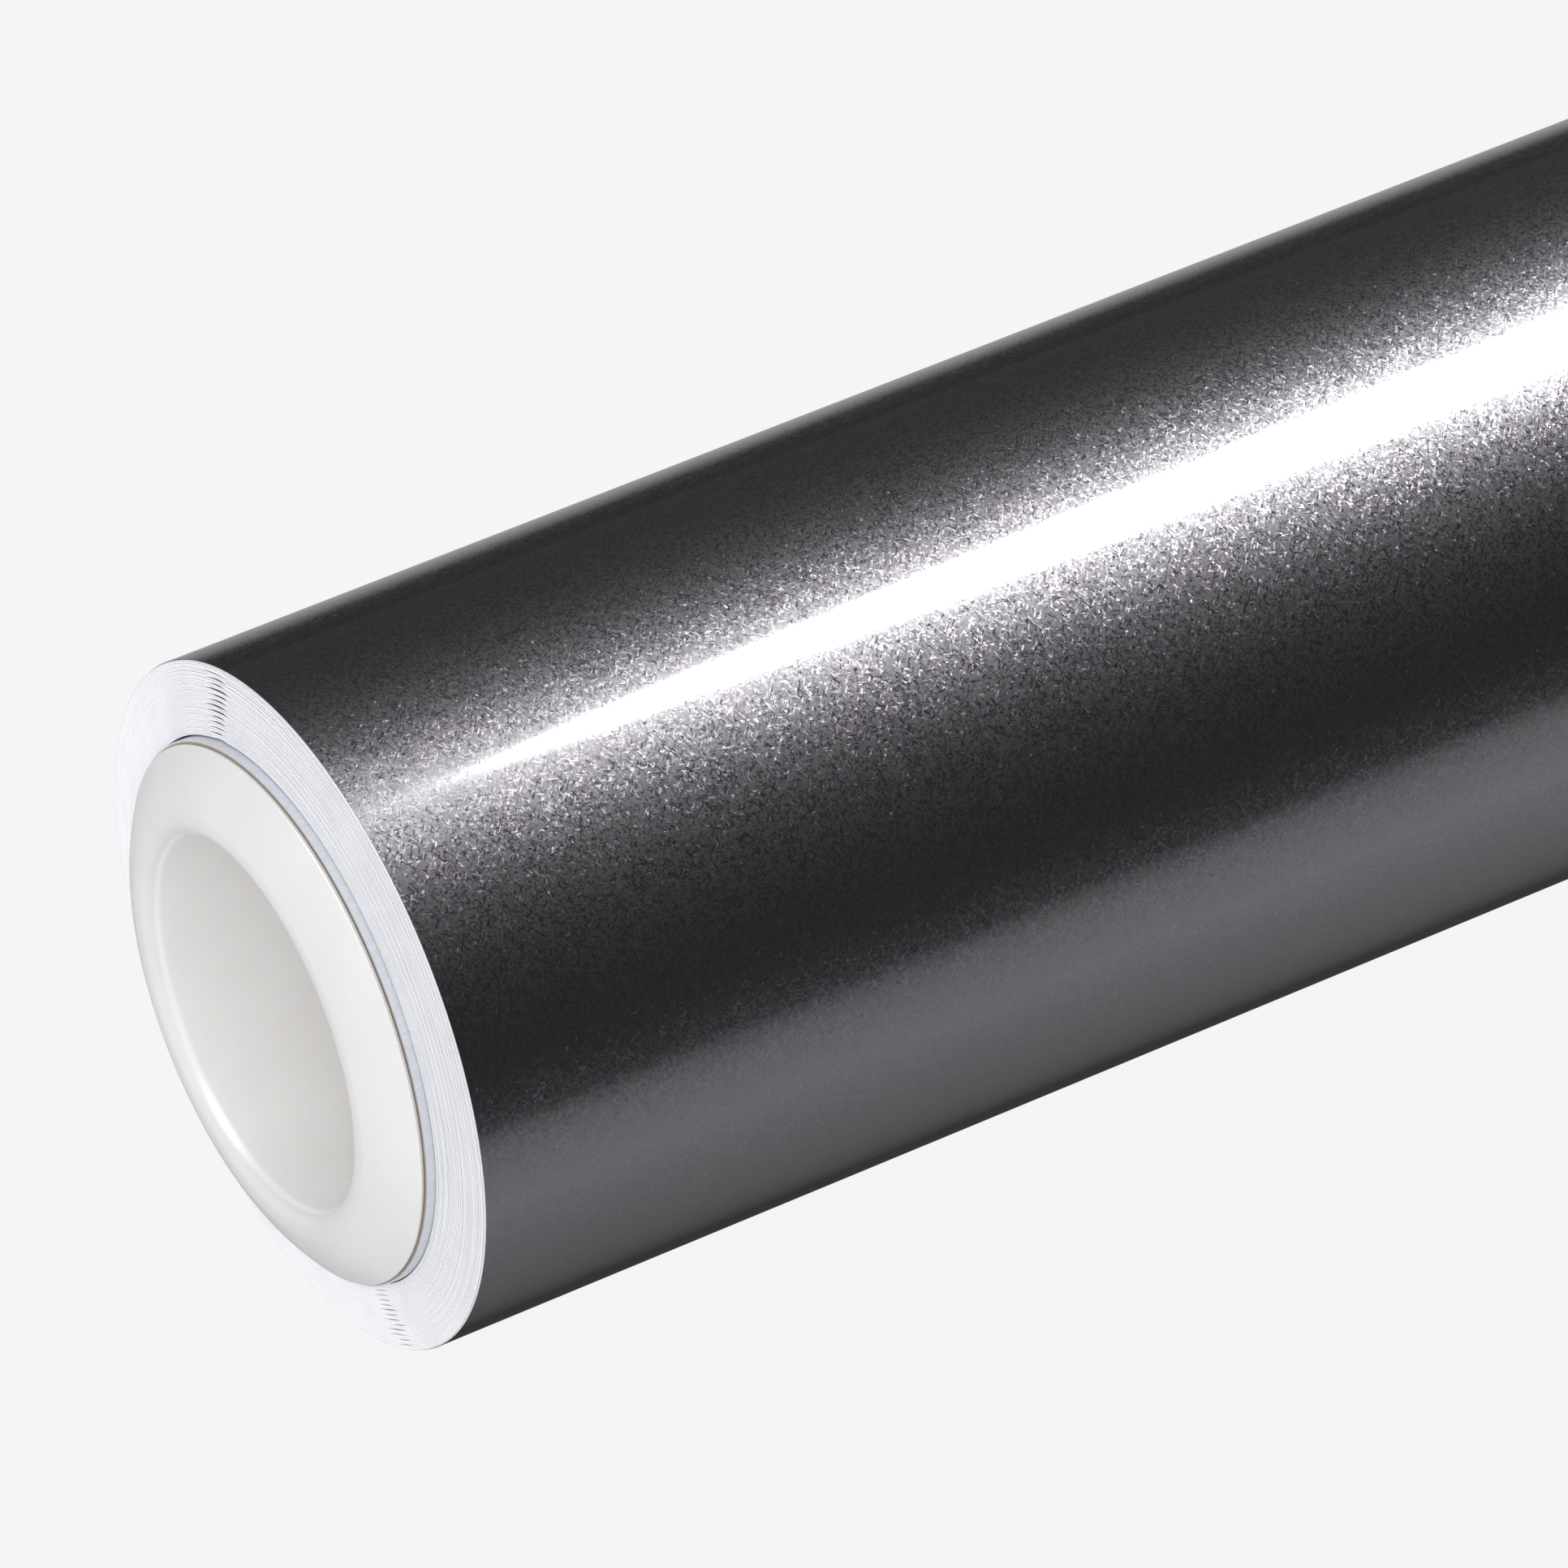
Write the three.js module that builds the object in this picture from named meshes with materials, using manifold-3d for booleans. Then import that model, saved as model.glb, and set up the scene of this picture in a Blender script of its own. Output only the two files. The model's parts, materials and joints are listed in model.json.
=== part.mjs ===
// A roll of self-adhesive sign vinyl: a black metallic face film on a white release liner, wound
// on a 3 inch paper core that has a flanged plastic plug pressed into each end.
//
// Millimetres, +Z up. The origin is the middle of the roll on the core's axis, which runs along X.
// The near end faces -X. The web comes over the top and ends in a free tail on the +Y side.

import * as THREE from 'three';
import Module from 'manifold-3d';
import { mergeVertices } from 'three/addons/utils/BufferGeometryUtils.js';

const wasm = await Module();
wasm.setup();

// Web and windings
const WEB_WIDTH = 610;          // 24 inch web
const TAIL_RADIUS = 65;         // roll's outside radius at the edge of the tail
const FILM = 0.25;              // face film, drawn thicker than the real 0.1
const LINER = 0.25;             // release liner
const PLY_GAP = 0.25;           // clearance between one ply and the next
const TURN = FILM + LINER + 2 * PLY_GAP;
const TELESCOPE = 2;            // how far the inner turns have slid towards the near end

// Core
const CORE_BORE = 76.2;
const CORE_OUTSIDE = 101.6;
const CORE_LENGTH = 617.4;
const START_STEP = 0.8;         // step in the innermost turn where the web starts

// Core plugs; heights are measured outwards from the core's end
const PLUG_BORE = 70;
const SLEEVE_RADIUS = 37.3;
const SLEEVE_DEPTH = 38;
const SLEEVE_TAPER = 1.2;
const RIB_RADIUS = 37.8;
const RIB_WIDTH = 2.4;
const RIB_COUNT = 8;
const RIB_DEPTH = 33;
const FLANGE_RADIUS = 50.2;
const FLANGE_SEAT = 0.3;
const RIM_HEIGHT = 0.8;
const RIM_ROUND = 0.4;
const CREST_HEIGHT = 6.5;
const CREST_WIDTH = 1.8;
const LIP_ROUND = 3;
const CROWN_BULGE = 0.7;

// Tail and its tapes, as degrees of winding back from the tail's edge
const TAIL_EDGE_ELEVATION = -22.5;
const PEEL_LINE = 35;
const TAIL_ROOT = 60;
const BUTT_GAP = 0.3;
const TAPE_WIDTH = 25;
const TAPE_THICKNESS = 0.3;
const TAPE_ON_TAIL = 14;
const TAPE_ON_TURN = 16;
const TAPE_RAMP = 2;
const TAPE_PLACES = { near: -225, middle: 0, far: 225 };

// Strip of tape that holds the start of the web on the core
const START_TAPE_ARC = 28;
const START_TAPE_LENGTH = 590;
const START_TAPE_THICKNESS = 0.25;

const STEP_DEG = 5;
const SEGMENTS = 360 / STEP_DEG;
const CORE_RADIUS = CORE_OUTSIDE / 2;
const PACK_BORE = CORE_RADIUS + PLY_GAP;

const radians = THREE.MathUtils.degToRad;
const degreesOfArc = (length, radius) => THREE.MathUtils.radToDeg(length / radius);

// Materials
const material = (color, roughness, metalness = 0) => (
  new THREE.MeshStandardMaterial({ color, roughness, metalness })
);
const FILM_LOOK = () => material(0x2b2b2d, 0.25, 0.6);
const LINER_LOOK = () => material(0xeceef4, 0.6);
const PACK_LOOK = () => material(0xe4e4ec, 0.6);
const CORE_LOOK = () => material(0xa88a66, 0.9);
const PLUG_LOOK = () => material(0xe1e1e1, 0.5);
const TAPE_LOOK = () => material(0xe6d9b4, 0.8);

const roll = new THREE.Group();

function addPiece(name, geometry, look) {
  const mesh = new THREE.Mesh(geometry, look);
  mesh.name = name;
  roll.add(mesh);
}

// Radius of the outer surface of the last turn, going back along the web from the tail's edge.
function turnRadius(winding) {
  return TAIL_RADIUS - TURN * winding / 360;
}

// A point of the cross-section. Its first coordinate becomes Y and its second Z.
function sectionPoint(winding, radius) {
  const angle = radians(TAIL_EDGE_ELEVATION + winding);
  return new THREE.Vector2(radius * Math.cos(angle), radius * Math.sin(angle));
}

// The two ends of a stretch of winding with every whole step between them.
function stations(from, to) {
  const found = [from];
  for (let winding = Math.ceil(from / STEP_DEG) * STEP_DEG; winding < to; winding += STEP_DEG) {
    if (winding > from) found.push(winding);
  }
  found.push(to);
  return found;
}

// Extrudes a cross-section in the YZ plane along X.
function alongAxis(shape, xFrom, xTo) {
  const geometry = new THREE.ExtrudeGeometry(shape, { depth: xTo - xFrom, bevelEnabled: false });
  const basis = new THREE.Matrix4().makeBasis(
    new THREE.Vector3(0, 1, 0),
    new THREE.Vector3(0, 0, 1),
    new THREE.Vector3(1, 0, 0),
  );
  geometry.applyMatrix4(basis);
  geometry.translate(xFrom, 0, 0);
  return geometry;
}

// Slides every turn towards the near end, the innermost the most.
function telescope(geometry) {
  const place = geometry.attributes.position;
  for (let i = 0; i < place.count; i += 1) {
    const radius = Math.hypot(place.getY(i), place.getZ(i));
    const inward = (TAIL_RADIUS - radius) / (TAIL_RADIUS - PACK_BORE);
    place.setX(i, place.getX(i) - TELESCOPE * inward);
  }
  geometry.computeVertexNormals();
  return geometry;
}

// A curved ply of the last turn. Its depth is measured inwards from the turn's outer surface.
function ply(from, to, depth, thickness) {
  const places = stations(from, to);
  const outside = places.map((w) => sectionPoint(w, turnRadius(w) - depth));
  const inside = places.map((w) => sectionPoint(w, turnRadius(w) - depth - thickness));
  const shape = new THREE.Shape([...outside, ...inside.reverse()]);
  return telescope(alongAxis(shape, -WEB_WIDTH / 2, WEB_WIDTH / 2));
}

// Every turn but the last, wound solid, with the web's spiral step outside and inside.
function woundTurns() {
  const places = stations(0, 360);
  const shape = new THREE.Shape(places.map((w) => sectionPoint(w, turnRadius(w) - TURN)));
  const bore = places.map((w) => sectionPoint(w, PACK_BORE + START_STEP * w / 360));
  shape.holes.push(new THREE.Path(bore.reverse()));
  return telescope(alongAxis(shape, -WEB_WIDTH / 2, WEB_WIDTH / 2));
}

// The tape over the web's first edge, in the room that the step inside the windings leaves.
function startTape() {
  const inner = CORE_RADIUS + PLY_GAP;
  const outer = inner + START_TAPE_THICKNESS;
  const to = 360 - degreesOfArc(BUTT_GAP * 4, inner);
  const places = stations(to - degreesOfArc(START_TAPE_ARC, inner), to);
  const outside = places.map((w) => sectionPoint(w, outer));
  const inside = places.map((w) => sectionPoint(w, inner));
  const shape = new THREE.Shape([...outside, ...inside.reverse()]);
  return alongAxis(shape, -START_TAPE_LENGTH / 2, START_TAPE_LENGTH / 2);
}

function circlePoints(radius) {
  const points = [];
  for (let i = 0; i < SEGMENTS; i += 1) points.push(sectionPoint(i * STEP_DEG, radius));
  return points;
}

function coreTube() {
  const shape = new THREE.Shape(circlePoints(CORE_RADIUS));
  shape.holes.push(new THREE.Path(circlePoints(CORE_BORE / 2).reverse()));
  return alongAxis(shape, -CORE_LENGTH / 2, CORE_LENGTH / 2);
}

// Half section of a plug without its ribs, as radius and height, closed on itself.
function plugProfile() {
  const bore = PLUG_BORE / 2;
  const crest = bore + LIP_ROUND;
  const points = [];
  const add = (radius, height) => points.push(new THREE.Vector2(radius, height));
  add(bore, -SLEEVE_DEPTH);
  add(SLEEVE_RADIUS - SLEEVE_TAPER, -SLEEVE_DEPTH);
  add(SLEEVE_RADIUS, -RIB_DEPTH);
  add(SLEEVE_RADIUS, FLANGE_SEAT);
  add(FLANGE_RADIUS, FLANGE_SEAT);
  add(FLANGE_RADIUS, RIM_HEIGHT);
  add(FLANGE_RADIUS - RIM_ROUND, RIM_HEIGHT + RIM_ROUND);
  const crownSteps = 4;
  const crownFoot = new THREE.Vector2(FLANGE_RADIUS - RIM_ROUND, RIM_HEIGHT + RIM_ROUND);
  const crownTop = new THREE.Vector2(crest + CREST_WIDTH, CREST_HEIGHT);
  for (let i = 1; i <= crownSteps; i += 1) {
    const along = i / crownSteps;
    const point = crownFoot.clone().lerp(crownTop, along);
    add(point.x, point.y + CROWN_BULGE * Math.sin(Math.PI * along));
  }
  const lipSteps = 4;
  for (let i = 0; i <= lipSteps; i += 1) {
    const turned = Math.PI / 2 * (1 + i / lipSteps);
    add(crest + LIP_ROUND * Math.cos(turned), CREST_HEIGHT - LIP_ROUND + LIP_ROUND * Math.sin(turned));
  }
  add(bore, -SLEEVE_DEPTH);
  return points;
}

function toSolid(geometry) {
  const bare = geometry.clone();
  bare.deleteAttribute('normal');
  bare.deleteAttribute('uv');
  const merged = mergeVertices(bare, 1e-4);
  return new wasm.Manifold(new wasm.Mesh({
    numProp: 3,
    vertProperties: new Float32Array(merged.attributes.position.array),
    triVerts: new Uint32Array(merged.index.array),
  }));
}

function toGeometry(solid) {
  const mesh = solid.getMesh();
  const geometry = new THREE.BufferGeometry();
  geometry.setAttribute('position', new THREE.BufferAttribute(mesh.vertProperties, 3));
  geometry.setIndex(new THREE.BufferAttribute(mesh.triVerts, 1));
  const flat = geometry.toNonIndexed();
  flat.computeVertexNormals();
  return flat;
}

// One plug, made on the Z axis with its flange upwards. Its crush ribs grip the core's bore.
function uprightPlug() {
  const body = new THREE.LatheGeometry(plugProfile(), SEGMENTS);
  body.rotateX(Math.PI / 2);
  let solid = toSolid(body);
  const ribRoot = (PLUG_BORE / 2 + SLEEVE_RADIUS) / 2;
  for (let i = 0; i < RIB_COUNT; i += 1) {
    const height = RIB_DEPTH + FLANGE_SEAT * 2;
    const rib = new THREE.BoxGeometry(RIB_RADIUS - ribRoot, RIB_WIDTH, height);
    rib.translate((RIB_RADIUS + ribRoot) / 2, 0, FLANGE_SEAT * 2 - height / 2);
    rib.rotateZ(i * 2 * Math.PI / RIB_COUNT);
    solid = solid.add(toSolid(rib));
  }
  return toGeometry(solid);
}

function corePlug(side) {
  const geometry = uprightPlug();
  geometry.rotateY(side * Math.PI / 2);
  geometry.translate(side * CORE_LENGTH / 2, 0, 0);
  return geometry;
}

// A strip of tape that starts on the tail, steps down over its edge and ends on the turn below.
function tailTape(middle) {
  const onTail = degreesOfArc(TAPE_ON_TAIL, TAIL_RADIUS);
  const onTurn = degreesOfArc(TAPE_ON_TURN, TAIL_RADIUS);
  const ramp = degreesOfArc(TAPE_RAMP, TAIL_RADIUS);
  const laid = [
    ...stations(360 - onTurn, 360 - ramp).map((w) => [w, turnRadius(w)]),
    ...stations(0, onTail).map((w) => [w, turnRadius(w)]),
  ];
  const outside = laid.map(([w, r]) => sectionPoint(w, r + PLY_GAP + TAPE_THICKNESS));
  const inside = laid.map(([w, r]) => sectionPoint(w, r + PLY_GAP));
  const shape = new THREE.Shape([...outside, ...inside.reverse()]);
  return alongAxis(shape, middle - TAPE_WIDTH / 2, middle + TAPE_WIDTH / 2);
}

const butt = degreesOfArc(BUTT_GAP, TAIL_RADIUS) / 2;
const linerDepth = FILM + PLY_GAP;

addPiece('core_tube', coreTube(), CORE_LOOK());
addPiece('near_core_plug', corePlug(-1), PLUG_LOOK());
addPiece('far_core_plug', corePlug(1), PLUG_LOOK());
addPiece('start_tape', startTape(), TAPE_LOOK());
addPiece('wound_turns', woundTurns(), PACK_LOOK());
addPiece('outer_turn_liner', ply(TAIL_ROOT + butt, 360 - 2 * butt, linerDepth, LINER), LINER_LOOK());
addPiece('outer_turn_film', ply(TAIL_ROOT + butt, 360 - 2 * butt, 0, FILM), FILM_LOOK());
addPiece('tail_liner', ply(0, TAIL_ROOT - butt, linerDepth, LINER), LINER_LOOK());
addPiece('tail_film', ply(PEEL_LINE + butt, TAIL_ROOT - butt, 0, FILM), FILM_LOOK());
addPiece('tail_edge_film', ply(0, PEEL_LINE - butt, 0, FILM), FILM_LOOK());
for (const [place, middle] of Object.entries(TAPE_PLACES)) {
  addPiece(`tail_tape_${place}`, tailTape(middle), TAPE_LOOK());
}

export default roll;
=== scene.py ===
# Looks of a roll of black metallic sign vinyl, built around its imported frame.
#
# Metres, in the frame's own axes: +X along the core towards the far end, +Z up, the free tail on
# the +Y side. A place on the web is its winding, in degrees back from the tail's edge.

import json
import math

import bmesh
import bpy
import numpy as np
from mathutils import Matrix, Vector, noise


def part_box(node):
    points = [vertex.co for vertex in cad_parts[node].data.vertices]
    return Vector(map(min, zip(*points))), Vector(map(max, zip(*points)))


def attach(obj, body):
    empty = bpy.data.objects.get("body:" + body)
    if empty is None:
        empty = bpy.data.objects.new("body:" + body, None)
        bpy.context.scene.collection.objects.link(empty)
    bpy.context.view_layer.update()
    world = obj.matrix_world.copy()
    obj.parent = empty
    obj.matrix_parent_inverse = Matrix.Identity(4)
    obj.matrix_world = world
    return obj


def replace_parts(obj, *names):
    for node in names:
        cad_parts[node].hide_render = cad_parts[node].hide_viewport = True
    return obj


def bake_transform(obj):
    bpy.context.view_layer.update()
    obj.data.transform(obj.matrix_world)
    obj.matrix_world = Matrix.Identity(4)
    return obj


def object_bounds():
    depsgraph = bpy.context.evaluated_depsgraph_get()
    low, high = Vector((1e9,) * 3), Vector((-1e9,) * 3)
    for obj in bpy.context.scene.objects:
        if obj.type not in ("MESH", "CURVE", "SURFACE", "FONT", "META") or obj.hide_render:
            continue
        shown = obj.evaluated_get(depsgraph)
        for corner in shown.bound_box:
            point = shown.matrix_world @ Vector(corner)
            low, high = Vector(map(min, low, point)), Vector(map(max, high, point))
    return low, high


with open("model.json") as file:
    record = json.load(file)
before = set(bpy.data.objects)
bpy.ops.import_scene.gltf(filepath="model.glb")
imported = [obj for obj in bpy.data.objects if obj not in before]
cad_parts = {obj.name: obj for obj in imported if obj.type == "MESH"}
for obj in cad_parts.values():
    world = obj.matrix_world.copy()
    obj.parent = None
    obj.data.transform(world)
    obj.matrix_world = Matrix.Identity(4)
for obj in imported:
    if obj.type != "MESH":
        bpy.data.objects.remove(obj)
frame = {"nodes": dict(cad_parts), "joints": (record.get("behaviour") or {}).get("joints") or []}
cad_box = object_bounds()

MM = 0.001

# Web
FILM = 0.12 * MM
LINER = 0.17 * MM
FILM_TO_LINER = 0.01 * MM       # gap between the film and its liner
PLY_PITCH = 0.33 * MM           # aimed at, then adjusted to fill the roll with whole turns
PLY_GAP = 0.03 * MM             # gap between one turn and the next
BUTT = 0.02 * MM                # gap between the pieces that the film and the liner are split into
FILM_SHRINK = 0.35 * MM         # how far the outer film has shrunk back from the liner's edge
FILM_SET_BACK = 0.02 * MM       # the same for the film in the windings
FILM_EDGE_SHARE = 0.22          # share of a ply's edge that is film rather than liner
PLY_ACROSS = 40                 # mesh faces across the web
FILM_STEP = 1.0                 # degrees of winding for each mesh face of the outer turn
TURN_STEP = 1.5                 # the same for the turns below

# Looks of the film
FLAKE_LAYERS = ((-50.0, 0.9 * MM), (12.0, 0.7 * MM), (68.0, 0.8 * MM))   # direction, length
FLAKE_WIDTH = 0.24 * MM
FLAKE_SHARE = 0.27              # of the surface that each layer's slivers cover
FLAKE_TILT = 0.21               # spread of the slivers' leans, as a slope
CHANNEL_PITCH = 0.9 * MM        # of the air channels pressed into the adhesive

# Disorder of the turns' edges
TELESCOPE = 2.0 * MM
EDGE_WANDER = 0.035 * MM
PROUD_TURN = 0.09 * MM
GROOVE_DEPTH = 0.45 * MM
GROOVE_PLACES = (63.0, 233.0)   # degrees from +Y towards +Z
GROOVE_HALF_ARC = 4.6

# Core
CORE_WRAP = 0.3 * MM
CORE_AROUND, CORE_ALONG = 180, 150
BOARD_PLIES = 12
BOARD_SET_BACK = 0.12 * MM      # of the cut ends from the core's full length, on average
BOARD_DENT = 0.10 * MM
WRAP_SET_BACK = 0.15 * MM
SEAM_PITCH = 96 * MM
SEAM_DEPTH = 0.18 * MM
SEAM_WIDTH = 1.6 * MM

# Plug
PLUG_AROUND = 360
SLEEVE_WALL = 2.3 * MM
BORE_CHAMFER = 0.5 * MM
TOE_CHAMFER = 0.4 * MM
TOE_TAPER = 1.2 * MM
LEAD_IN = 5 * MM
ROOT_CHAMFER = 0.5 * MM         # where the sleeve meets the flange
LIP_RADIUS = 3 * MM
CREST_LAND = 1.8 * MM           # flat crest between the lip and the crowned flange
CROWN_STEPS = 18
FLANGE_GAP = 0.06 * MM          # between the flange and the core's end
RIM_HEIGHT = 0.65 * MM          # of the rounded rim's centre above the core's end
RIM_RADIUS = 0.4 * MM
RIM_UNDERCUT = 0.25 * MM
RIB_COUNT = 8
RIB_HEIGHT = 0.5 * MM
RIB_HALF_ARC = 2.4              # degrees
CROWN_BULGE = 0.7 * MM

# Tapes
START_TAPE = 0.10 * MM
START_TAPE_LIFT = 0.01 * MM     # gap between the start tape and the core
START_TAPE_TO_WEB = 0.05 * MM
START_TAPE_STEPS = 32
TAPE = 0.14 * MM
TAPE_LIFT = 0.03 * MM
CREPE_HEIGHT = 0.05 * MM        # of the creases
CREPE_PITCH = 0.8 * MM
SAW_TOOTH = 1.1 * MM
SAW_PITCH = 2.4 * MM
TAPE_RAMP = 1.2                 # degrees over which a tape steps down past the tail's edge
TAPE_ACROSS = 44
TAPE_ALONG = 96

# Camera: where it stands as seen from the near end of the roll, then how far it turns from there
CAMERA_AZIMUTH = -30.11         # degrees
CAMERA_ELEVATION = 43.74
CAMERA_DISTANCE = 2.41
CAMERA_TURN = 2.02              # degrees
CAMERA_TILT = 0.925
CAMERA_LENS = 317               # focal length in millimetres, on a 36 mm sensor


# ---------------------------------------------------------------- facts taken from the frame

def reach(node):
    """Smallest and largest distance of a node's corners from the core's axis."""
    corners = np.array([v.co for v in frame["nodes"][node].data.vertices], float)
    distance = np.hypot(corners[:, 1], corners[:, 2])
    return distance.min(), distance.max()


def hinge(name):
    """A joint's pivot in the frame."""
    joint = next(j for j in frame["joints"] if j["name"] == name)
    return Vector(joint["pos_m"])


def elevation_of(point):
    return math.degrees(math.atan2(point.z, point.y))


FLOOR = cad_box[0].z
edge_low, edge_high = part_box("tail_edge_film")
HALF_WEB = (edge_high.x - edge_low.x) / 2
TAIL_EDGE = math.degrees(math.asin(edge_low.z / edge_high.y))   # elevation of the tail's edge
PEEL_LINE = elevation_of(hinge("film_peel")) - TAIL_EDGE
TAIL_ROOT = elevation_of(hinge("tail_lift")) - TAIL_EDGE
TAPE_LINE = elevation_of(hinge("tape_peel_near")) - TAIL_EDGE
CORE_BORE, CORE_RADIUS = reach("core_tube")
CORE_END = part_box("core_tube")[1].x
PLUG_BORE, FLANGE_RADIUS = reach("near_core_plug")
PLUG_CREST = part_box("far_core_plug")[1].x
PLUG_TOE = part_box("far_core_plug")[0].x

INNER_RADIUS = CORE_RADIUS + START_TAPE + START_TAPE_TO_WEB
DOWN = 270 - TAIL_EDGE                                           # winding of the lowest point
TURNS = round((-FLOOR - INNER_RADIUS) / PLY_PITCH)
PITCH = (-FLOOR - INNER_RADIUS) / TURNS


def turn_radius(winding):
    """Outside radius of the web. The roll's lowest point just touches the floor."""
    return -FLOOR + PITCH * (DOWN - winding) / 360


def section(winding, radius):
    angle = math.radians(TAIL_EDGE + winding)
    return radius * math.cos(angle), radius * math.sin(angle)


def telescoped(radius):
    """How far the turns at this radius have slid towards the near end."""
    return -TELESCOPE * (turn_radius(0) - radius) / (turn_radius(0) - INNER_RADIUS)


# ---------------------------------------------------------------- material nodes

class Shader:
    """A Principled material with short calls for the nodes that feed it."""

    def __init__(self, name, **sockets):
        self.material = bpy.data.materials.new(name)
        self.material.use_nodes = True
        self.tree = self.material.node_tree
        self.principled = self.tree.nodes["Principled BSDF"]
        for socket, value in sockets.items():
            self.principled.inputs[socket.replace("_", " ")].default_value = value
        coordinates = self.node("ShaderNodeTexCoord")
        self.place = coordinates.outputs["Object"]

    def node(self, kind, values=(), **settings):
        made = self.tree.nodes.new(kind)
        for setting, value in settings.items():
            setattr(made, setting, value)
        for socket, value in dict(values).items():
            self.feed(made.inputs[socket], value)
        return made

    def feed(self, socket, value):
        if isinstance(value, bpy.types.NodeSocket):
            self.tree.links.new(value, socket)
        else:
            socket.default_value = value

    def math(self, operation, *values):
        values = dict(enumerate(values))
        return self.node("ShaderNodeMath", values, operation=operation).outputs[0]

    def vector_math(self, operation, *values):
        return self.node("ShaderNodeVectorMath", dict(enumerate(values)), operation=operation)

    def stretched(self, scale):
        return self.vector_math("MULTIPLY", self.place, scale).outputs[0]

    def noise(self, per_metre, detail=3.0, roughness=0.5, place=None):
        values = {
            "Vector": place or self.place,
            "Scale": per_metre,
            "Detail": detail,
            "Roughness": roughness,
        }
        return self.node("ShaderNodeTexNoise", values).outputs["Fac"]

    def cells(self, per_metre, place=None):
        values = {"Vector": place or self.place, "Scale": per_metre}
        return self.node("ShaderNodeTexVoronoi", values).outputs["Color"]

    def span(self, value, low, high, to_low=0.0, to_high=1.0, smooth=False):
        values = {0: value, 1: low, 2: high, 3: to_low, 4: to_high}
        kind = "SMOOTHSTEP" if smooth else "LINEAR"
        return self.node("ShaderNodeMapRange", values, interpolation_type=kind).outputs[0]

    def mix(self, factor, first, second, blend="MIX"):
        made = self.node("ShaderNodeMix", data_type="RGBA", blend_type=blend)
        self.feed(made.inputs["Factor"], factor)
        self.feed(made.inputs[6], first)
        self.feed(made.inputs[7], second)
        return made.outputs[2]

    def bump(self, height, depth, strength=1.0, normal=None):
        values = {"Height": height, "Distance": depth, "Strength": strength}
        made = self.node("ShaderNodeBump", values)
        if normal is not None:
            self.feed(made.inputs["Normal"], normal)
        return made.outputs["Normal"]

    def to(self, **sockets):
        for socket, value in sockets.items():
            self.feed(self.principled.inputs[socket.replace("_", " ")], value)
        return self.material


def rgb(red, green, blue):
    return red, green, blue, 1.0


def film_face():
    """Black metallic film: slivers of flake at small tilts under a clear, slightly uneven gloss."""
    s = Shader(
        "black_metallic_film",
        Metallic=1.0,
        Coat_Weight=1.0,
        Coat_Roughness=0.09,
        Coat_IOR=1.45,
    )
    x, y, z = s.node("ShaderNodeSeparateXYZ", {0: s.place}).outputs
    around = s.math("MULTIPLY", s.math("ARCTAN2", z, y), turn_radius(0))
    tilt = s.vector_math("SUBTRACT", s.cells(4200), (0.5, 0.5, 0.5)).outputs[0]
    tilt = s.vector_math("MULTIPLY", tilt, (0.03, 0.03, 0.03)).outputs[0]
    cover = 0.0
    tint = rgb(0.053, 0.051, 0.053)
    for direction, length in FLAKE_LAYERS:
        lengthways = math.cos(math.radians(direction)), math.sin(math.radians(direction))
        along = s.math("MULTIPLY", around, lengthways[1] / length)
        along = s.math("MULTIPLY_ADD", x, lengthways[0] / length, along)
        across = s.math("MULTIPLY", around, lengthways[0] / FLAKE_WIDTH)
        across = s.math("MULTIPLY_ADD", x, -lengthways[1] / FLAKE_WIDTH, across)
        flake = s.cells(1.0, s.node("ShaderNodeCombineXYZ", {0: along, 1: across}).outputs[0])
        parts = s.node("ShaderNodeSeparateColor", {0: flake})
        shown = s.math("GREATER_THAN", parts.outputs[0], 1 - FLAKE_SHARE)
        lean = s.vector_math("SUBTRACT", flake, (1 - FLAKE_SHARE / 2, 0.5, 0.5)).outputs[0]
        lean = s.vector_math("MULTIPLY", lean, s.math("MULTIPLY", shown, FLAKE_TILT)).outputs[0]
        tilt = s.vector_math("ADD", tilt, lean).outputs[0]
        hue = s.mix(parts.outputs[2], rgb(0.060, 0.060, 0.070), rgb(0.080, 0.067, 0.078))
        tint = s.mix(s.math("MULTIPLY", shown, parts.outputs[1]), tint, hue)
        cover = s.math("MAXIMUM", shown, cover)
    geometry = s.node("ShaderNodeNewGeometry").outputs["Normal"]
    tilted = s.vector_math("ADD", geometry, tilt).outputs[0]
    tilted = s.vector_math("NORMALIZE", tilted).outputs[0]
    cloud = s.span(s.noise(70, 3.0), 0.35, 0.7)
    base = s.mix(s.math("MULTIPLY", cloud, 0.30), tint, rgb(0.044, 0.052, 0.054))
    peel = s.noise(110, 2.0, place=s.stretched((0.5, 1.0, 1.0)))
    skin = s.bump(peel, 0.03 * MM, 0.5)
    return s.to(
        Base_Color=base,
        Roughness=s.span(cover, 0.0, 1.0, 0.41, 0.33),
        Normal=tilted,
        Coat_Normal=skin,
    )


def film_cut():
    """Cut edge of the film, seen from the ends."""
    s = Shader("film_cut_edge", Metallic=0.0, Specular_IOR_Level=0.3)
    grain = s.noise(3000, 2.0)
    base = s.mix(s.span(grain, 0.35, 0.65), rgb(0.02, 0.02, 0.022), rgb(0.06, 0.06, 0.065))
    return s.to(Base_Color=base, Roughness=s.span(grain, 0.3, 0.7, 0.5, 0.7))


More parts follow.
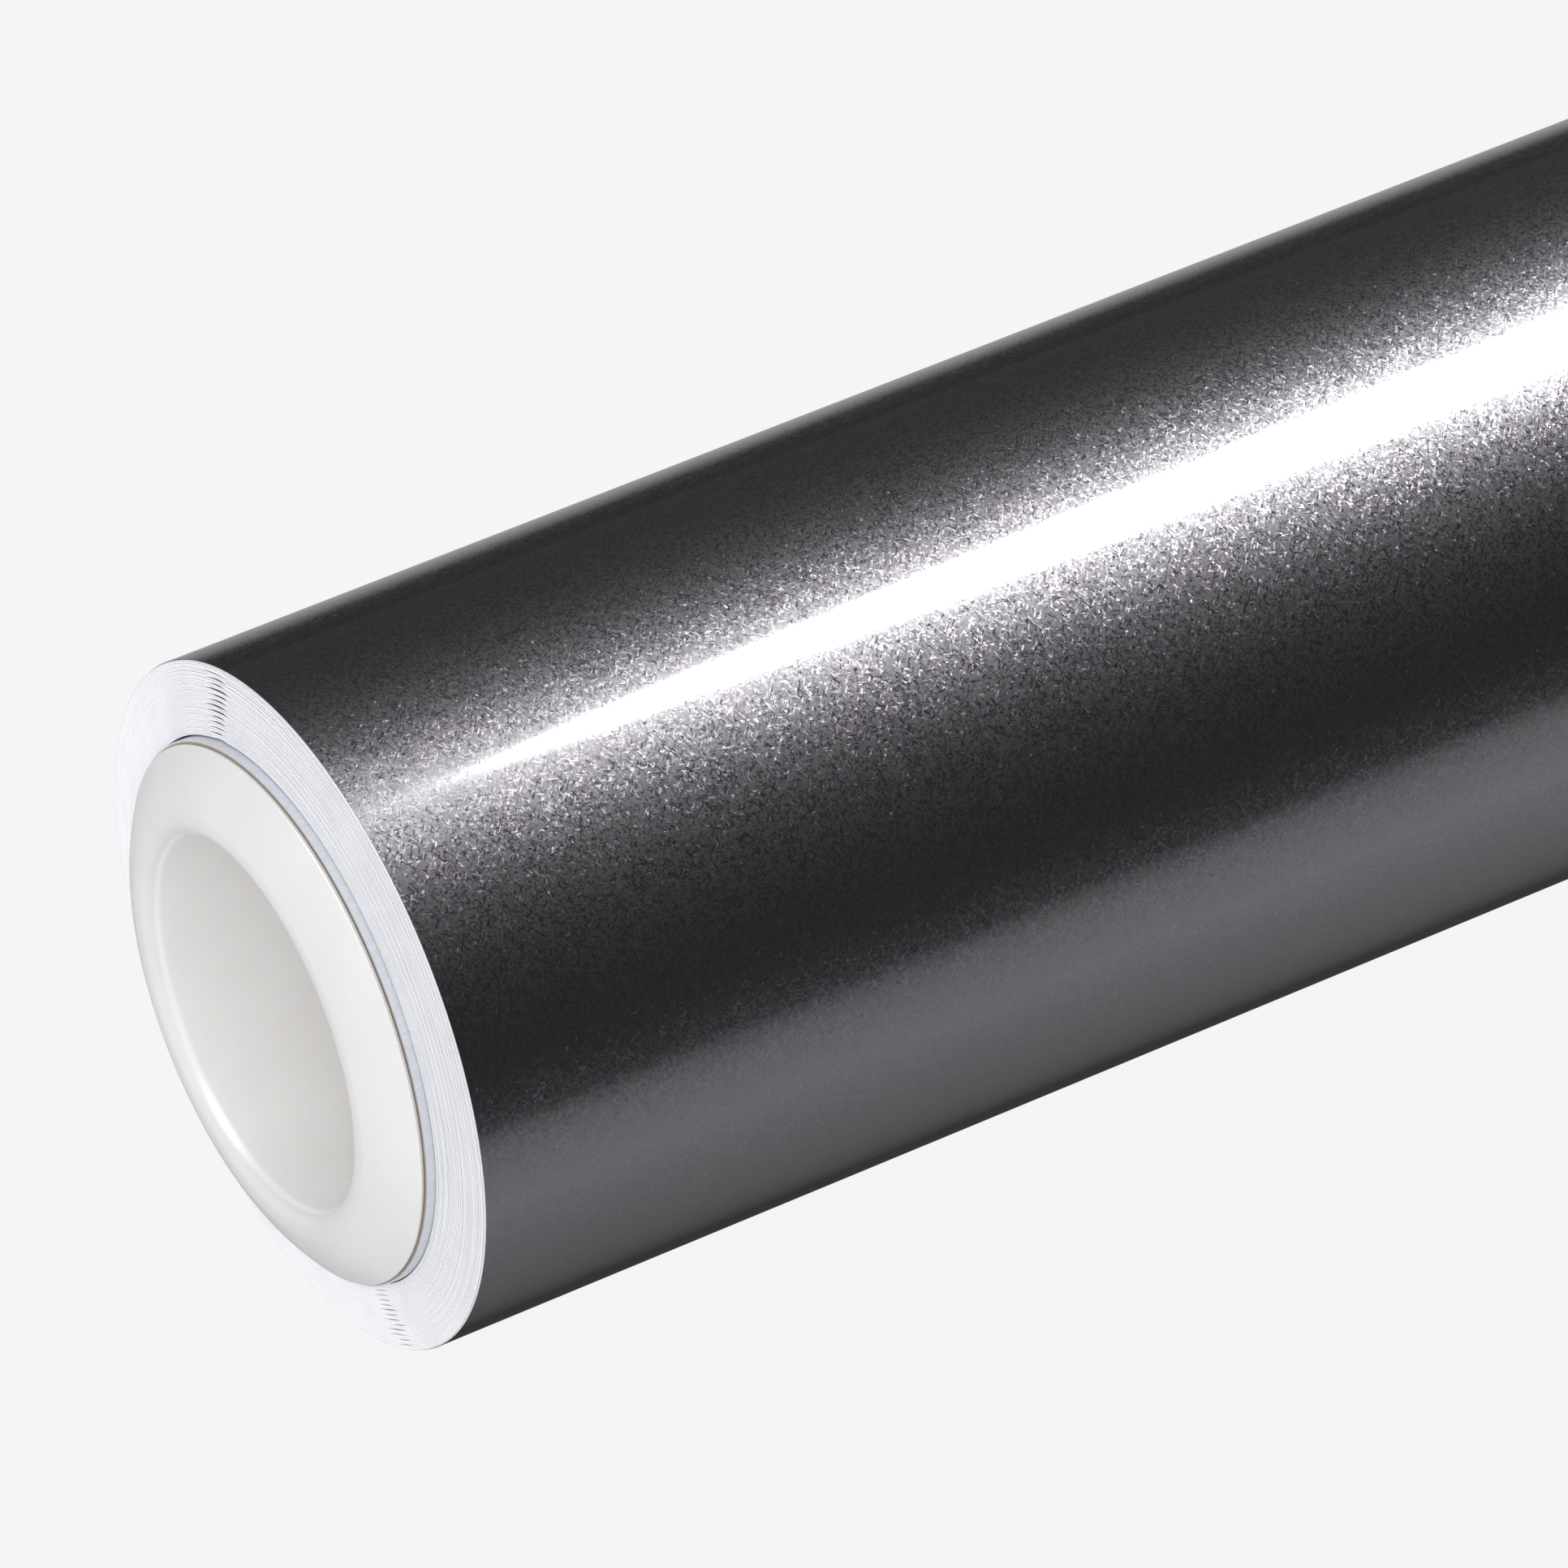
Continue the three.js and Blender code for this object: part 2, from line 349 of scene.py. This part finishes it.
def ply_film_cut():
    """Cut edge of the film within the windings, where liner dust and adhesive whiten it."""
    s = Shader("wound_film_cut_edge", Specular_IOR_Level=0.3)
    grain = s.noise(900, 3.0)
    base = s.mix(s.span(grain, 0.35, 0.65), rgb(0.83, 0.85, 0.885), rgb(0.87, 0.88, 0.915))
    return s.to(Base_Color=base, Roughness=s.span(grain, 0.3, 0.7, 0.45, 0.65))


def liner_paper(name, tint):
    """Coated release paper: faint mottle, fine fibre and a low sheen."""
    s = Shader(name, Specular_IOR_Level=0.2)
    mottle = s.noise(140, 4.0)
    fibre = s.noise(2600, 3.0, 0.65)
    darker = rgb(*(0.93 * c for c in tint))
    base = s.mix(s.span(mottle, 0.3, 0.7), rgb(*tint), darker)
    rough = s.span(fibre, 0.3, 0.7, 0.42, 0.6)
    return s.to(Base_Color=base, Roughness=rough, Normal=s.bump(fibre, 0.015 * MM, 0.6))


def film_adhesive():
    """Back of the film: grey adhesive pressed with a fine diamond grid of air channels."""
    s = Shader("film_adhesive", Specular_IOR_Level=0.3)
    x, y, z = s.node("ShaderNodeSeparateXYZ", {0: s.place}).outputs
    around = s.math("MULTIPLY", s.math("ARCTAN2", z, y), turn_radius(0))
    first = s.math("PINGPONG", s.math("ADD", x, around), CHANNEL_PITCH)
    second = s.math("PINGPONG", s.math("SUBTRACT", x, around), CHANNEL_PITCH)
    nearest = s.math("MINIMUM", first, second)
    land = s.span(nearest, 0.05 * CHANNEL_PITCH, 0.2 * CHANNEL_PITCH, smooth=True)
    cloud = s.span(s.noise(90, 3.0), 0.3, 0.7)
    base = s.mix(cloud, rgb(0.30, 0.305, 0.31), rgb(0.35, 0.355, 0.36))
    # Painted shade: the air channels are coloured darker than the land, besides their bump.
    base = s.mix(land, rgb(0.25, 0.255, 0.26), base)
    rough = s.span(land, 0.0, 1.0, 0.6, 0.38)
    return s.to(Base_Color=base, Roughness=rough, Normal=s.bump(land, 0.01 * MM, 0.7))


def kraft():
    """Spiral-wound core board: brown fibre with darker specks, wound at an angle."""
    s = Shader("kraft_core", Specular_IOR_Level=0.2)
    fibre = s.noise(900, 5.0, 0.7, place=s.stretched((0.25, 1.0, 1.0)))
    specks = s.span(s.noise(1800, 2.0), 0.66, 0.74)
    base = s.mix(s.span(fibre, 0.3, 0.7), rgb(0.40, 0.27, 0.16), rgb(0.52, 0.38, 0.25))
    base = s.mix(s.math("MULTIPLY", specks, 0.5), base, rgb(0.16, 0.10, 0.06))
    rough = s.span(fibre, 0.3, 0.7, 0.75, 0.95)
    return s.to(Base_Color=base, Roughness=rough, Normal=s.bump(fibre, 0.06 * MM, 0.8))


def board_end():
    """Cut end of the core board: greyed fibre."""
    s = Shader("core_board_end", Specular_IOR_Level=0.2)
    fibre = s.noise(1400, 4.0, 0.7)
    base = s.mix(s.span(fibre, 0.3, 0.7), rgb(0.30, 0.25, 0.20), rgb(0.42, 0.36, 0.30))
    return s.to(Base_Color=base, Roughness=0.9, Normal=s.bump(fibre, 0.05 * MM, 0.8))


def core_wrap():
    """Pale outer ply of the core."""
    s = Shader("pale_core_wrap", Specular_IOR_Level=0.3)
    fibre = s.noise(1200, 4.0, 0.6, place=s.stretched((0.3, 1.0, 1.0)))
    base = s.mix(s.span(fibre, 0.3, 0.7), rgb(0.50, 0.52, 0.57), rgb(0.58, 0.60, 0.64))
    return s.to(Base_Color=base, Roughness=0.7, Normal=s.bump(fibre, 0.03 * MM, 0.6))


def moulded_plastic():
    """White moulded plastic: soft gloss, flow marks, scuffs, and painted shade that greys the lip
    and flange against the bore.
    """
    s = Shader("white_moulded_plastic", Subsurface_Weight=0.08, Subsurface_Scale=0.6 * MM)
    flow = s.noise(60, 3.0)
    grain = s.noise(5000, 2.0)
    scuff = s.span(s.noise(500, 6.0, 0.75, place=s.stretched((3.0, 1.0, 0.4))), 0.66, 0.78)
    base = s.mix(s.span(flow, 0.3, 0.7), rgb(0.86, 0.855, 0.845), rgb(0.89, 0.888, 0.88))
    base = s.mix(s.math("MULTIPLY", scuff, 0.12), base, rgb(0.50, 0.49, 0.47))
    # Painted shade: from 0.6 mm out of the bore onwards, over the lip and the flange, the colour is
    # multiplied by a 0.795 grey.
    radius = s.vector_math("LENGTH", s.stretched((0.0, 1.0, 1.0))).outputs["Value"]
    flange = s.span(radius, PLUG_BORE, PLUG_BORE + 0.6 * MM, smooth=True)
    base = s.mix(flange, base, s.mix(1.0, base, rgb(0.795, 0.795, 0.80), "MULTIPLY"))
    rough = s.math("ADD", s.span(flow, 0.3, 0.7, 0.36, 0.44), s.math("MULTIPLY", scuff, 0.2))
    return s.to(Base_Color=base, Roughness=rough, Normal=s.bump(grain, 0.008 * MM, 0.5))


def masking_paper():
    """Crepe masking tape: thin creamy paper."""
    s = Shader("masking_paper", Specular_IOR_Level=0.25)
    fibre = s.noise(1500, 4.0, 0.65, place=s.stretched((0.4, 1.0, 1.0)))
    base = s.mix(s.span(fibre, 0.3, 0.7), rgb(0.60, 0.51, 0.34), rgb(0.72, 0.62, 0.42))
    rough = s.span(fibre, 0.3, 0.7, 0.7, 0.9)
    return s.to(Base_Color=base, Roughness=rough, Normal=s.bump(fibre, 0.03 * MM, 0.7))


# ---------------------------------------------------------------- mesh building

def add_piece(name, points, faces, materials, slots=None, smooth=True):
    """Makes a mesh object. slots gives each face's place in materials."""
    mesh = bpy.data.meshes.new(name)
    mesh.from_pydata([tuple(p) for p in points], [], faces)
    for material in materials:
        mesh.materials.append(material)
    if slots is not None:
        mesh.polygons.foreach_set("material_index", slots)
    mesh.polygons.foreach_set("use_smooth", [smooth] * len(mesh.polygons))
    mesh.update()
    piece = bpy.data.objects.new(name, mesh)
    bpy.context.scene.collection.objects.link(piece)
    if smooth:
        mesh.set_sharp_from_angle(angle=math.radians(32))
    return piece


def swept(rings, closed_path=False):
    """Points and faces of a closed section carried through a list of stations."""
    count, size = len(rings), len(rings[0])
    points = [p for ring in rings for p in ring]
    faces = []
    for i in range(count if closed_path else count - 1):
        here, there = i * size, (i + 1) % count * size
        for k in range(size):
            after = (k + 1) % size
            faces.append((here + k, here + after, there + after, there + k))
    if not closed_path:
        faces.append(tuple(reversed(range(size))))
        faces.append(tuple(range((count - 1) * size, count * size)))
    return points, faces


def face_outwards(piece):
    """Turns the faces so that the closed mesh's normals point out of it."""
    work = bmesh.new()
    work.from_mesh(piece.data)
    bmesh.ops.recalc_face_normals(work, faces=work.faces)
    work.to_mesh(piece.data)
    work.free()
    return piece


def windings(start, end, step):
    count = max(2, round((end - start) / step))
    return [start + (end - start) * i / count for i in range(count + 1)]


# ---------------------------------------------------------------- the web

def curved_ply(name, start, end, depth, thickness, inset, materials):
    """A closed strip of web, from one winding to another, depth inside its turn's outer face."""
    half = HALF_WEB - inset
    butt = math.degrees(BUTT / turn_radius(0)) / 2
    rings = []
    for winding in windings(start + butt, end - butt, FILM_STEP):
        outer = turn_radius(winding) - depth
        shift = telescoped(turn_radius(winding))
        ring = []
        for side in (0, 1):
            for i in range(PLY_ACROSS + 1):
                share = i / PLY_ACROSS if side == 0 else 1 - i / PLY_ACROSS
                x = -half + 2 * half * share + shift
                ring.append((x, *section(winding, outer - side * thickness)))
        rings.append(ring)
    points, faces = swept(rings)
    size = len(rings[0])
    slots = []
    for face in faces[:-2]:
        place = face[0] % size
        slots.append(1 if place in (PLY_ACROSS, size - 1) else 0 if place < PLY_ACROSS else 2)
    slots += [1, 1]
    return face_outwards(add_piece(name, points, faces, materials, slots))


def groove(elevation, turn):
    """How far a turn's edge is set back: plies open in short arcs at two places on the end."""
    depth = 0.0
    for number, place in enumerate(GROOVE_PLACES):
        chosen = noise.noise(Vector((turn * 3.7, number * 11.0, 5.5)))
        centre = place + 3.0 * noise.noise(Vector((turn * 1.3, number * 7.0, 9.9)))
        reach_of_groove = GROOVE_HALF_ARC * (0.55 + 0.6 * abs(chosen))
        off = abs((elevation - centre + 180) % 360 - 180) / reach_of_groove
        if off < 1 and turn % 3 == 0:
            depth += GROOVE_DEPTH * (0.7 + 0.5 * chosen) * (1 - off * off)
    return depth


def edge_shift(winding, end):
    """Axial place of a turn's edge at one end of the roll, past the plain telescoping."""
    turn = winding / 360
    elevation = TAIL_EDGE + winding
    around = math.radians(winding)
    spot = Vector((math.cos(around) * 1.2, math.sin(around) * 1.2, turn * 2.3 + 40 * end))
    wander = EDGE_WANDER * noise.noise(spot)
    proud = PROUD_TURN * max(0.0, noise.noise(Vector((turn * 0.9, 2.0, 7.0 + end)))) ** 2
    outwards = wander + proud - groove(elevation, int(turn))
    return outwards * (1 if end else -1)


def wound_layers(materials):
    """Every turn under the outer one, as one long strip of film on liner wound down to the core."""
    rings = []
    thickness = PITCH - PLY_GAP
    for winding in windings(360, DOWN + (TURNS - 1) * 360, TURN_STEP):
        outer = turn_radius(winding)
        middle = outer - thickness * FILM_EDGE_SHARE
        inner = outer - thickness
        shift = telescoped(outer)
        near = -HALF_WEB + shift + edge_shift(winding, 0)
        far = HALF_WEB + shift + edge_shift(winding, 1)
        ring = [
            (near + FILM_SET_BACK, *section(winding, outer)),
            (near + FILM_SET_BACK, *section(winding, middle)),
            (near, *section(winding, middle)),
            (near, *section(winding, inner)),
            (far, *section(winding, inner)),
            (far, *section(winding, middle)),
            (far - FILM_SET_BACK, *section(winding, middle)),
            (far - FILM_SET_BACK, *section(winding, outer)),
        ]
        rings.append(ring)
    points, faces = swept(rings)
    by_place = (1, 2, 2, 2, 2, 2, 1, 0)       # material of each face round the section
    slots = [by_place[face[0] % 8] for face in faces[:-2]] + [1, 1]
    return face_outwards(add_piece("wound_layers", points, faces, materials, slots))


# ---------------------------------------------------------------- core and plugs

def spiral_core(materials):
    """Core tube with the helical seams of its plies in the bore, and ply lines on its ends."""
    wrap = CORE_RADIUS - CORE_WRAP
    stations = [-CORE_END + 2 * CORE_END * i / CORE_ALONG for i in range(CORE_ALONG + 1)]
    ends = [CORE_BORE + (wrap - CORE_BORE) * i / BOARD_PLIES for i in range(1, BOARD_PLIES)]
    ends.append(wrap)
    rings = []
    for a in range(CORE_AROUND):
        angle = 2 * math.pi * a / CORE_AROUND
        outline = []
        for x in stations:
            turn = (x / SEAM_PITCH + a / CORE_AROUND) % 1.0
            off = min(turn, 1 - turn) * SEAM_PITCH / SEAM_WIDTH
            outline.append((x, CORE_BORE + SEAM_DEPTH * math.exp(-off * off)))
        for side in (1, -1):
            plies = ends if side == 1 else list(reversed(ends))
            for radius in plies:
                dent = BOARD_DENT * noise.noise(Vector((radius * 900, angle * 0.6, side)))
                outline.append((side * (CORE_END - BOARD_SET_BACK + dent), radius))
            if side == 1:
                outline.append((CORE_END - WRAP_SET_BACK, CORE_RADIUS))
                outline.append((-CORE_END + WRAP_SET_BACK, CORE_RADIUS))
        rings.append([(x, r * math.cos(angle), r * math.sin(angle)) for x, r in outline])
    points, faces = swept(rings, closed_path=True)
    last_end = len(stations) + len(ends)
    wrap_places = (last_end - 1, last_end, last_end + 1)
    slots = []
    for face in faces:
        place = face[0] % len(rings[0])
        slots.append(0 if place < len(stations) - 1 else 1 if place in wrap_places else 2)
    return face_outwards(add_piece("spiral_core", points, faces, materials, slots))


def arc(centre, radius, start, end, steps):
    """Points of a circular arc in a half section, as radius and height."""
    found = []
    for i in range(steps + 1):
        angle = math.radians(start + (end - start) * i / steps)
        found.append((centre[0] + radius * math.cos(angle), centre[1] + radius * math.sin(angle)))
    return found


def plug_outline():
    """Half section of a plug, as radius and distance from the middle of the roll."""
    bore = PLUG_BORE
    sleeve = bore + SLEEVE_WALL
    seat = CORE_END + FLANGE_GAP
    outline = [(bore + BORE_CHAMFER, PLUG_TOE), (sleeve - TOE_TAPER - TOE_CHAMFER, PLUG_TOE)]
    outline += [(sleeve - TOE_TAPER, PLUG_TOE + TOE_CHAMFER), (sleeve, PLUG_TOE + LEAD_IN)]
    outline += [(sleeve, PLUG_TOE + (CORE_END - PLUG_TOE) * i / 6) for i in range(2, 6)]
    outline += [(sleeve, CORE_END - ROOT_CHAMFER), (sleeve + ROOT_CHAMFER, seat)]
    outline += [(FLANGE_RADIUS - RIM_UNDERCUT, seat)]
    rim = (FLANGE_RADIUS - RIM_RADIUS, CORE_END + RIM_HEIGHT)
    outline += arc(rim, RIM_RADIUS, -60, 60, 8)
    foot = Vector(outline[-1])
    top = Vector((bore + LIP_RADIUS + CREST_LAND, PLUG_CREST))
    for i in range(1, CROWN_STEPS + 1):
        share = i / CROWN_STEPS
        point = foot.lerp(top, share)
        outline.append((point.x, point.y + CROWN_BULGE * math.sin(math.pi * share)))
    lip_start = PLUG_CREST - LIP_RADIUS
    outline += arc((bore + LIP_RADIUS, lip_start), LIP_RADIUS, 90, 180, 16)
    outline += [(bore, lip_start - (lip_start - PLUG_TOE) * i / 8) for i in range(1, 8)]
    outline += [(bore, PLUG_TOE + BORE_CHAMFER)]
    return outline


def core_plug(side, material):
    """One plug: a crowned flange, a rounded lip and a sleeve with crush ribs."""
    outline = plug_outline()
    sleeve = max(r for r, h in outline if h < CORE_END - 1 * MM)
    rings = []
    for a in range(PLUG_AROUND):
        angle = 2 * math.pi * a / PLUG_AROUND
        off = (a * RIB_COUNT / PLUG_AROUND + 0.5) % 1.0 - 0.5
        off *= 360 / RIB_COUNT / RIB_HALF_ARC
        rib = RIB_HEIGHT * max(0.0, 1 - off * off) ** 0.5 if abs(off) < 1 else 0.0
        ring = []
        for radius, height in outline:
            on_sleeve = abs(radius - sleeve) < 0.05 * MM and height < CORE_END
            swollen = radius + rib if on_sleeve else radius
            ring.append((side * height, swollen * math.cos(angle), swollen * math.sin(angle)))
        rings.append(ring)
    points, faces = swept(rings, closed_path=True)
    name = "far_plug_moulding" if side > 0 else "near_plug_moulding"
    return face_outwards(add_piece(name, points, faces, [material]))


# ---------------------------------------------------------------- tapes

def saw_edge(across):
    """Outline of an end torn on a dispenser's teeth."""
    phase = (across / SAW_PITCH) % 1.0
    return SAW_TOOTH * (1 - abs(2 * phase - 1))


def tail_tape(place, seed, material):
    """A strip of crepe tape over the tail's edge, stepping down onto the turn below."""
    low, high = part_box(f"tail_tape_{place}")
    middle, half = (low.x + high.x) / 2, (high.x - low.x) / 2
    lower_end = math.degrees(math.asin(low.z / turn_radius(0))) - TAIL_EDGE
    degrees_per_metre = math.degrees(1 / turn_radius(0))
    rings = []
    for i in range(TAPE_ACROSS + 1):
        x = -half + 2 * half * i / TAPE_ACROSS
        top = TAPE_LINE - saw_edge(x + half) * degrees_per_metre
        bottom = lower_end + saw_edge(x + half + SAW_PITCH / 2) * degrees_per_metre
        outside, inside = [], []
        for k in range(TAPE_ALONG + 1):
            winding = top + (bottom - top) * k / TAPE_ALONG
            down = min(1.0, max(0.0, -winding / TAPE_RAMP))
            down = down * down * (3 - 2 * down)
            foot = turn_radius(winding + 360 * down) + TAPE_LIFT
            along = winding / degrees_per_metre
            ridge = noise.noise(Vector((x / (6 * MM), along / CREPE_PITCH, seed)))
            thick = TAPE + CREPE_HEIGHT * (1 + ridge)
            outside.append((middle + x, *section(winding, foot + thick)))
            inside.append((middle + x, *section(winding, foot)))
        rings.append(outside + list(reversed(inside)))
    points, faces = swept(rings)
    return face_outwards(add_piece(f"crepe_tape_{place}", points, faces, [material]))


def start_strip(material):
    """Tape under the first turn that holds the web's start to the core."""
    low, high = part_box("start_tape")
    half = (high.x - low.x) / 2
    angles = sorted(elevation_of(v.co) for v in frame["nodes"]["start_tape"].data.vertices)
    inner = CORE_RADIUS + START_TAPE_LIFT
    outer = inner + START_TAPE
    rings = []
    for i in range(START_TAPE_STEPS + 1):
        angle = math.radians(angles[0] + (angles[-1] - angles[0]) * i / START_TAPE_STEPS)
        ring = []
        for x, radius in ((-half, outer), (half, outer), (half, inner), (-half, inner)):
            ring.append((x, radius * math.cos(angle), radius * math.sin(angle)))
        rings.append(ring)
    points, faces = swept(rings)
    return face_outwards(add_piece("start_strip", points, faces, [material]))


# ---------------------------------------------------------------- stage, lights, camera

def floor():
    """A wide pale floor, evenly bright where seen. Only a painted lit strip along the roll shows in
    its gloss, as on a lit table, with painted shadow where the roll lies on it.
    """
    half = 12.0
    signs = ((-1, -1), (1, -1), (1, 1), (-1, 1))
    corners = [(half * i, half * j, FLOOR) for i, j in signs]
    s = Shader("pale_floor", Roughness=0.9, Specular_IOR_Level=0.0)
    s.to(
        Base_Color=rgb(0.010, 0.010, 0.010),
        Emission_Color=rgb(1, 1, 1),
        Emission_Strength=0.905,
    )
    # Painted light for glossy rays: a glowing strip stands in for the lit table, dimmer behind the
    # roll, with painted shadow where the roll lies on it and fading past the strip.
    y = s.node("ShaderNodeSeparateXYZ", {0: s.place}).outputs[1]
    away = s.math("ABSOLUTE", y)
    side = s.span(y, -0.01, 0.01, 1.0, 0.3)                       # dimmer behind the roll
    painted_roll_shadow = s.span(away, 0.046, 0.14, 0.04, 1.42)                # dark where the roll lies on it
    painted_strip_fade = s.span(away, 0.22, 0.52, 1.0, 0.08, smooth=True)    # and past the lit strip
    # This emission is the painted lit strip and painted shadow, seen only in reflections.
    lit = s.node("ShaderNodeEmission", {"Color": rgb(0.94, 0.97, 1.0)})
    strip = s.math("MULTIPLY", s.math("MULTIPLY", painted_roll_shadow, painted_strip_fade), side)
    s.feed(lit.inputs["Strength"], strip)
    ray = s.node("ShaderNodeLightPath").outputs["Is Glossy Ray"]
    choose = s.node("ShaderNodeMixShader", {0: ray, 1: s.principled.outputs[0], 2: lit.outputs[0]})
    s.tree.links.new(choose.outputs[0], s.tree.nodes["Material Output"].inputs["Surface"])
    ground = add_piece("floor", corners, [(0, 1, 2, 3)], [s.material], smooth=False)


def backdrop():
    """Pale where the camera sees it, soft light on dull surfaces, a dim room in glossy ones."""
    world = bpy.data.worlds.new("studio")
    bpy.context.scene.world = world
    world.use_nodes = True
    nodes, links = world.node_tree.nodes, world.node_tree.links
    shown = nodes["Background"]
    shown.inputs["Color"].default_value = rgb(0.905, 0.905, 0.905)
    tent = nodes.new("ShaderNodeBackground")
    tent.inputs["Color"].default_value = rgb(0.93, 0.93, 0.94)
    room = nodes.new("ShaderNodeBackground")
    room.inputs["Color"].default_value = rgb(0.090, 0.090, 0.093)
    ray = nodes.new("ShaderNodeLightPath")
    previous = shown
    for seen, light in (("Is Diffuse Ray", tent), ("Is Glossy Ray", room)):
        choose = nodes.new("ShaderNodeMixShader")
        links.new(ray.outputs[seen], choose.inputs[0])
        links.new(previous.outputs[0], choose.inputs[1])
        links.new(light.outputs[0], choose.inputs[2])
        previous = choose
    links.new(previous.outputs[0], nodes["World Output"].inputs["Surface"])


def softbox(name, place, target, width, length, power, shape="RECTANGLE", glossy_only=False):
    """A flat lamp that faces a point. A glossy_only one leaves dull surfaces alone."""
    lamp = bpy.data.lights.new(name, "AREA")
    lamp.shape = shape
    lamp.size = width
    lamp.size_y = length
    lamp.energy = power
    box = bpy.data.objects.new(name, lamp)
    bpy.context.scene.collection.objects.link(box)
    towards = (Vector(target) - Vector(place)).normalized()
    facing = towards.to_track_quat("-Z", "Y")
    box.matrix_world = Matrix.Translation(place) @ facing.to_matrix().to_4x4()
    box.visible_diffuse = not glossy_only


def camera():
    """Stands off the near end of the roll, then turns so that the roll runs out of the picture."""
    near_end = Vector((edge_low.x, 0, 0))
    azimuth, elevation = math.radians(CAMERA_AZIMUTH), math.radians(CAMERA_ELEVATION)
    back = Vector((
        math.sin(azimuth) * math.cos(elevation),
        -math.cos(azimuth) * math.cos(elevation),
        math.sin(elevation),
    ))
    right = Vector((math.cos(azimuth), math.sin(azimuth), 0))
    up = back.cross(right)
    facing = Matrix((right, up, back)).transposed().to_4x4()
    turn = Matrix.Rotation(math.radians(-CAMERA_TURN), 4, "Y")
    tilt = Matrix.Rotation(math.radians(CAMERA_TILT), 4, "X")
    data = bpy.data.cameras.new("camera")
    data.lens = CAMERA_LENS
    data.sensor_width = 36
    data.clip_end = 100
    view = bpy.data.objects.new("camera", data)
    bpy.context.scene.collection.objects.link(view)
    view.matrix_world = Matrix.Translation(near_end + back * CAMERA_DISTANCE) @ facing @ turn @ tilt
    bpy.context.scene.camera = view


# ---------------------------------------------------------------- assembly

def build():
    film = film_face()
    cut = film_cut()
    ply_cut = ply_film_cut()
    liner = liner_paper("release_liner", (0.78, 0.79, 0.82))
    ply_edge = liner_paper("liner_edge", (0.88, 0.89, 0.925))
    plastic = moulded_plastic()
    tape = masking_paper()

    film_looks = [film, cut, film_adhesive()]
    outer = curved_ply("roll_face_film", TAIL_ROOT, 360, 0, FILM, FILM_SHRINK, film_looks)
    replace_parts(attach(outer, "roll"), "outer_turn_film")
    tail = curved_ply("tail_face_film", PEEL_LINE, TAIL_ROOT, 0, FILM, FILM_SHRINK, film_looks)
    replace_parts(tail, "tail_film")
    edge = curved_ply("tail_film_edge", 0, PEEL_LINE, 0, FILM, FILM_SHRINK, film_looks)
    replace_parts(edge, "tail_edge_film")
    liner_looks = [liner, liner, liner]
    depth = FILM + FILM_TO_LINER
    outer_liner = curved_ply("outer_turn_backing", TAIL_ROOT, 360, depth, LINER, 0, liner_looks)
    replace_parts(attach(outer_liner, "roll"), "outer_turn_liner")
    tail_liner = curved_ply("tail_backing", 0, TAIL_ROOT, depth, LINER, 0, liner_looks)
    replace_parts(tail_liner, "tail_liner")

    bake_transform(tail)
    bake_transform(tail_liner)
    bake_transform(edge)

    layers = wound_layers([film, ply_cut, ply_edge])
    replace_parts(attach(layers, "roll"), "wound_turns")

    core = spiral_core([kraft(), core_wrap(), board_end()])
    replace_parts(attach(core, "roll"), "core_tube")
    near = core_plug(-1, plastic)
    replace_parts(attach(near, "near_plug"), "near_core_plug")
    far = core_plug(1, plastic)
    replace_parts(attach(far, "far_plug"), "far_core_plug")

    strip = start_strip(tape)
    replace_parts(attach(strip, "roll"), "start_tape")
    for seed, place in enumerate(("near", "middle", "far")):
        piece = tail_tape(place, seed * 4.0 + 1.0, tape)
        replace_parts(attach(piece, f"tape_{place}"), f"tail_tape_{place}")


camera()
backdrop()
floor()
softbox("far_strip", (0.89, 0.13, 1.25), (0.19, 0.18, 0.06), 0.50, 1.25, 104, "ELLIPSE", True)
softbox("near_strip", (-0.89, 0.13, 1.25), (-0.19, 0.18, 0.06), 0.50, 1.25, 45, "ELLIPSE", True)
softbox("end_fill", (-1.8, -1.1, 1.2), (-0.3, 0, 0), 1.6, 1.6, 19)
build()

scene = bpy.context.scene
scene.view_settings.view_transform = "Standard"
scene.view_settings.look = "None"
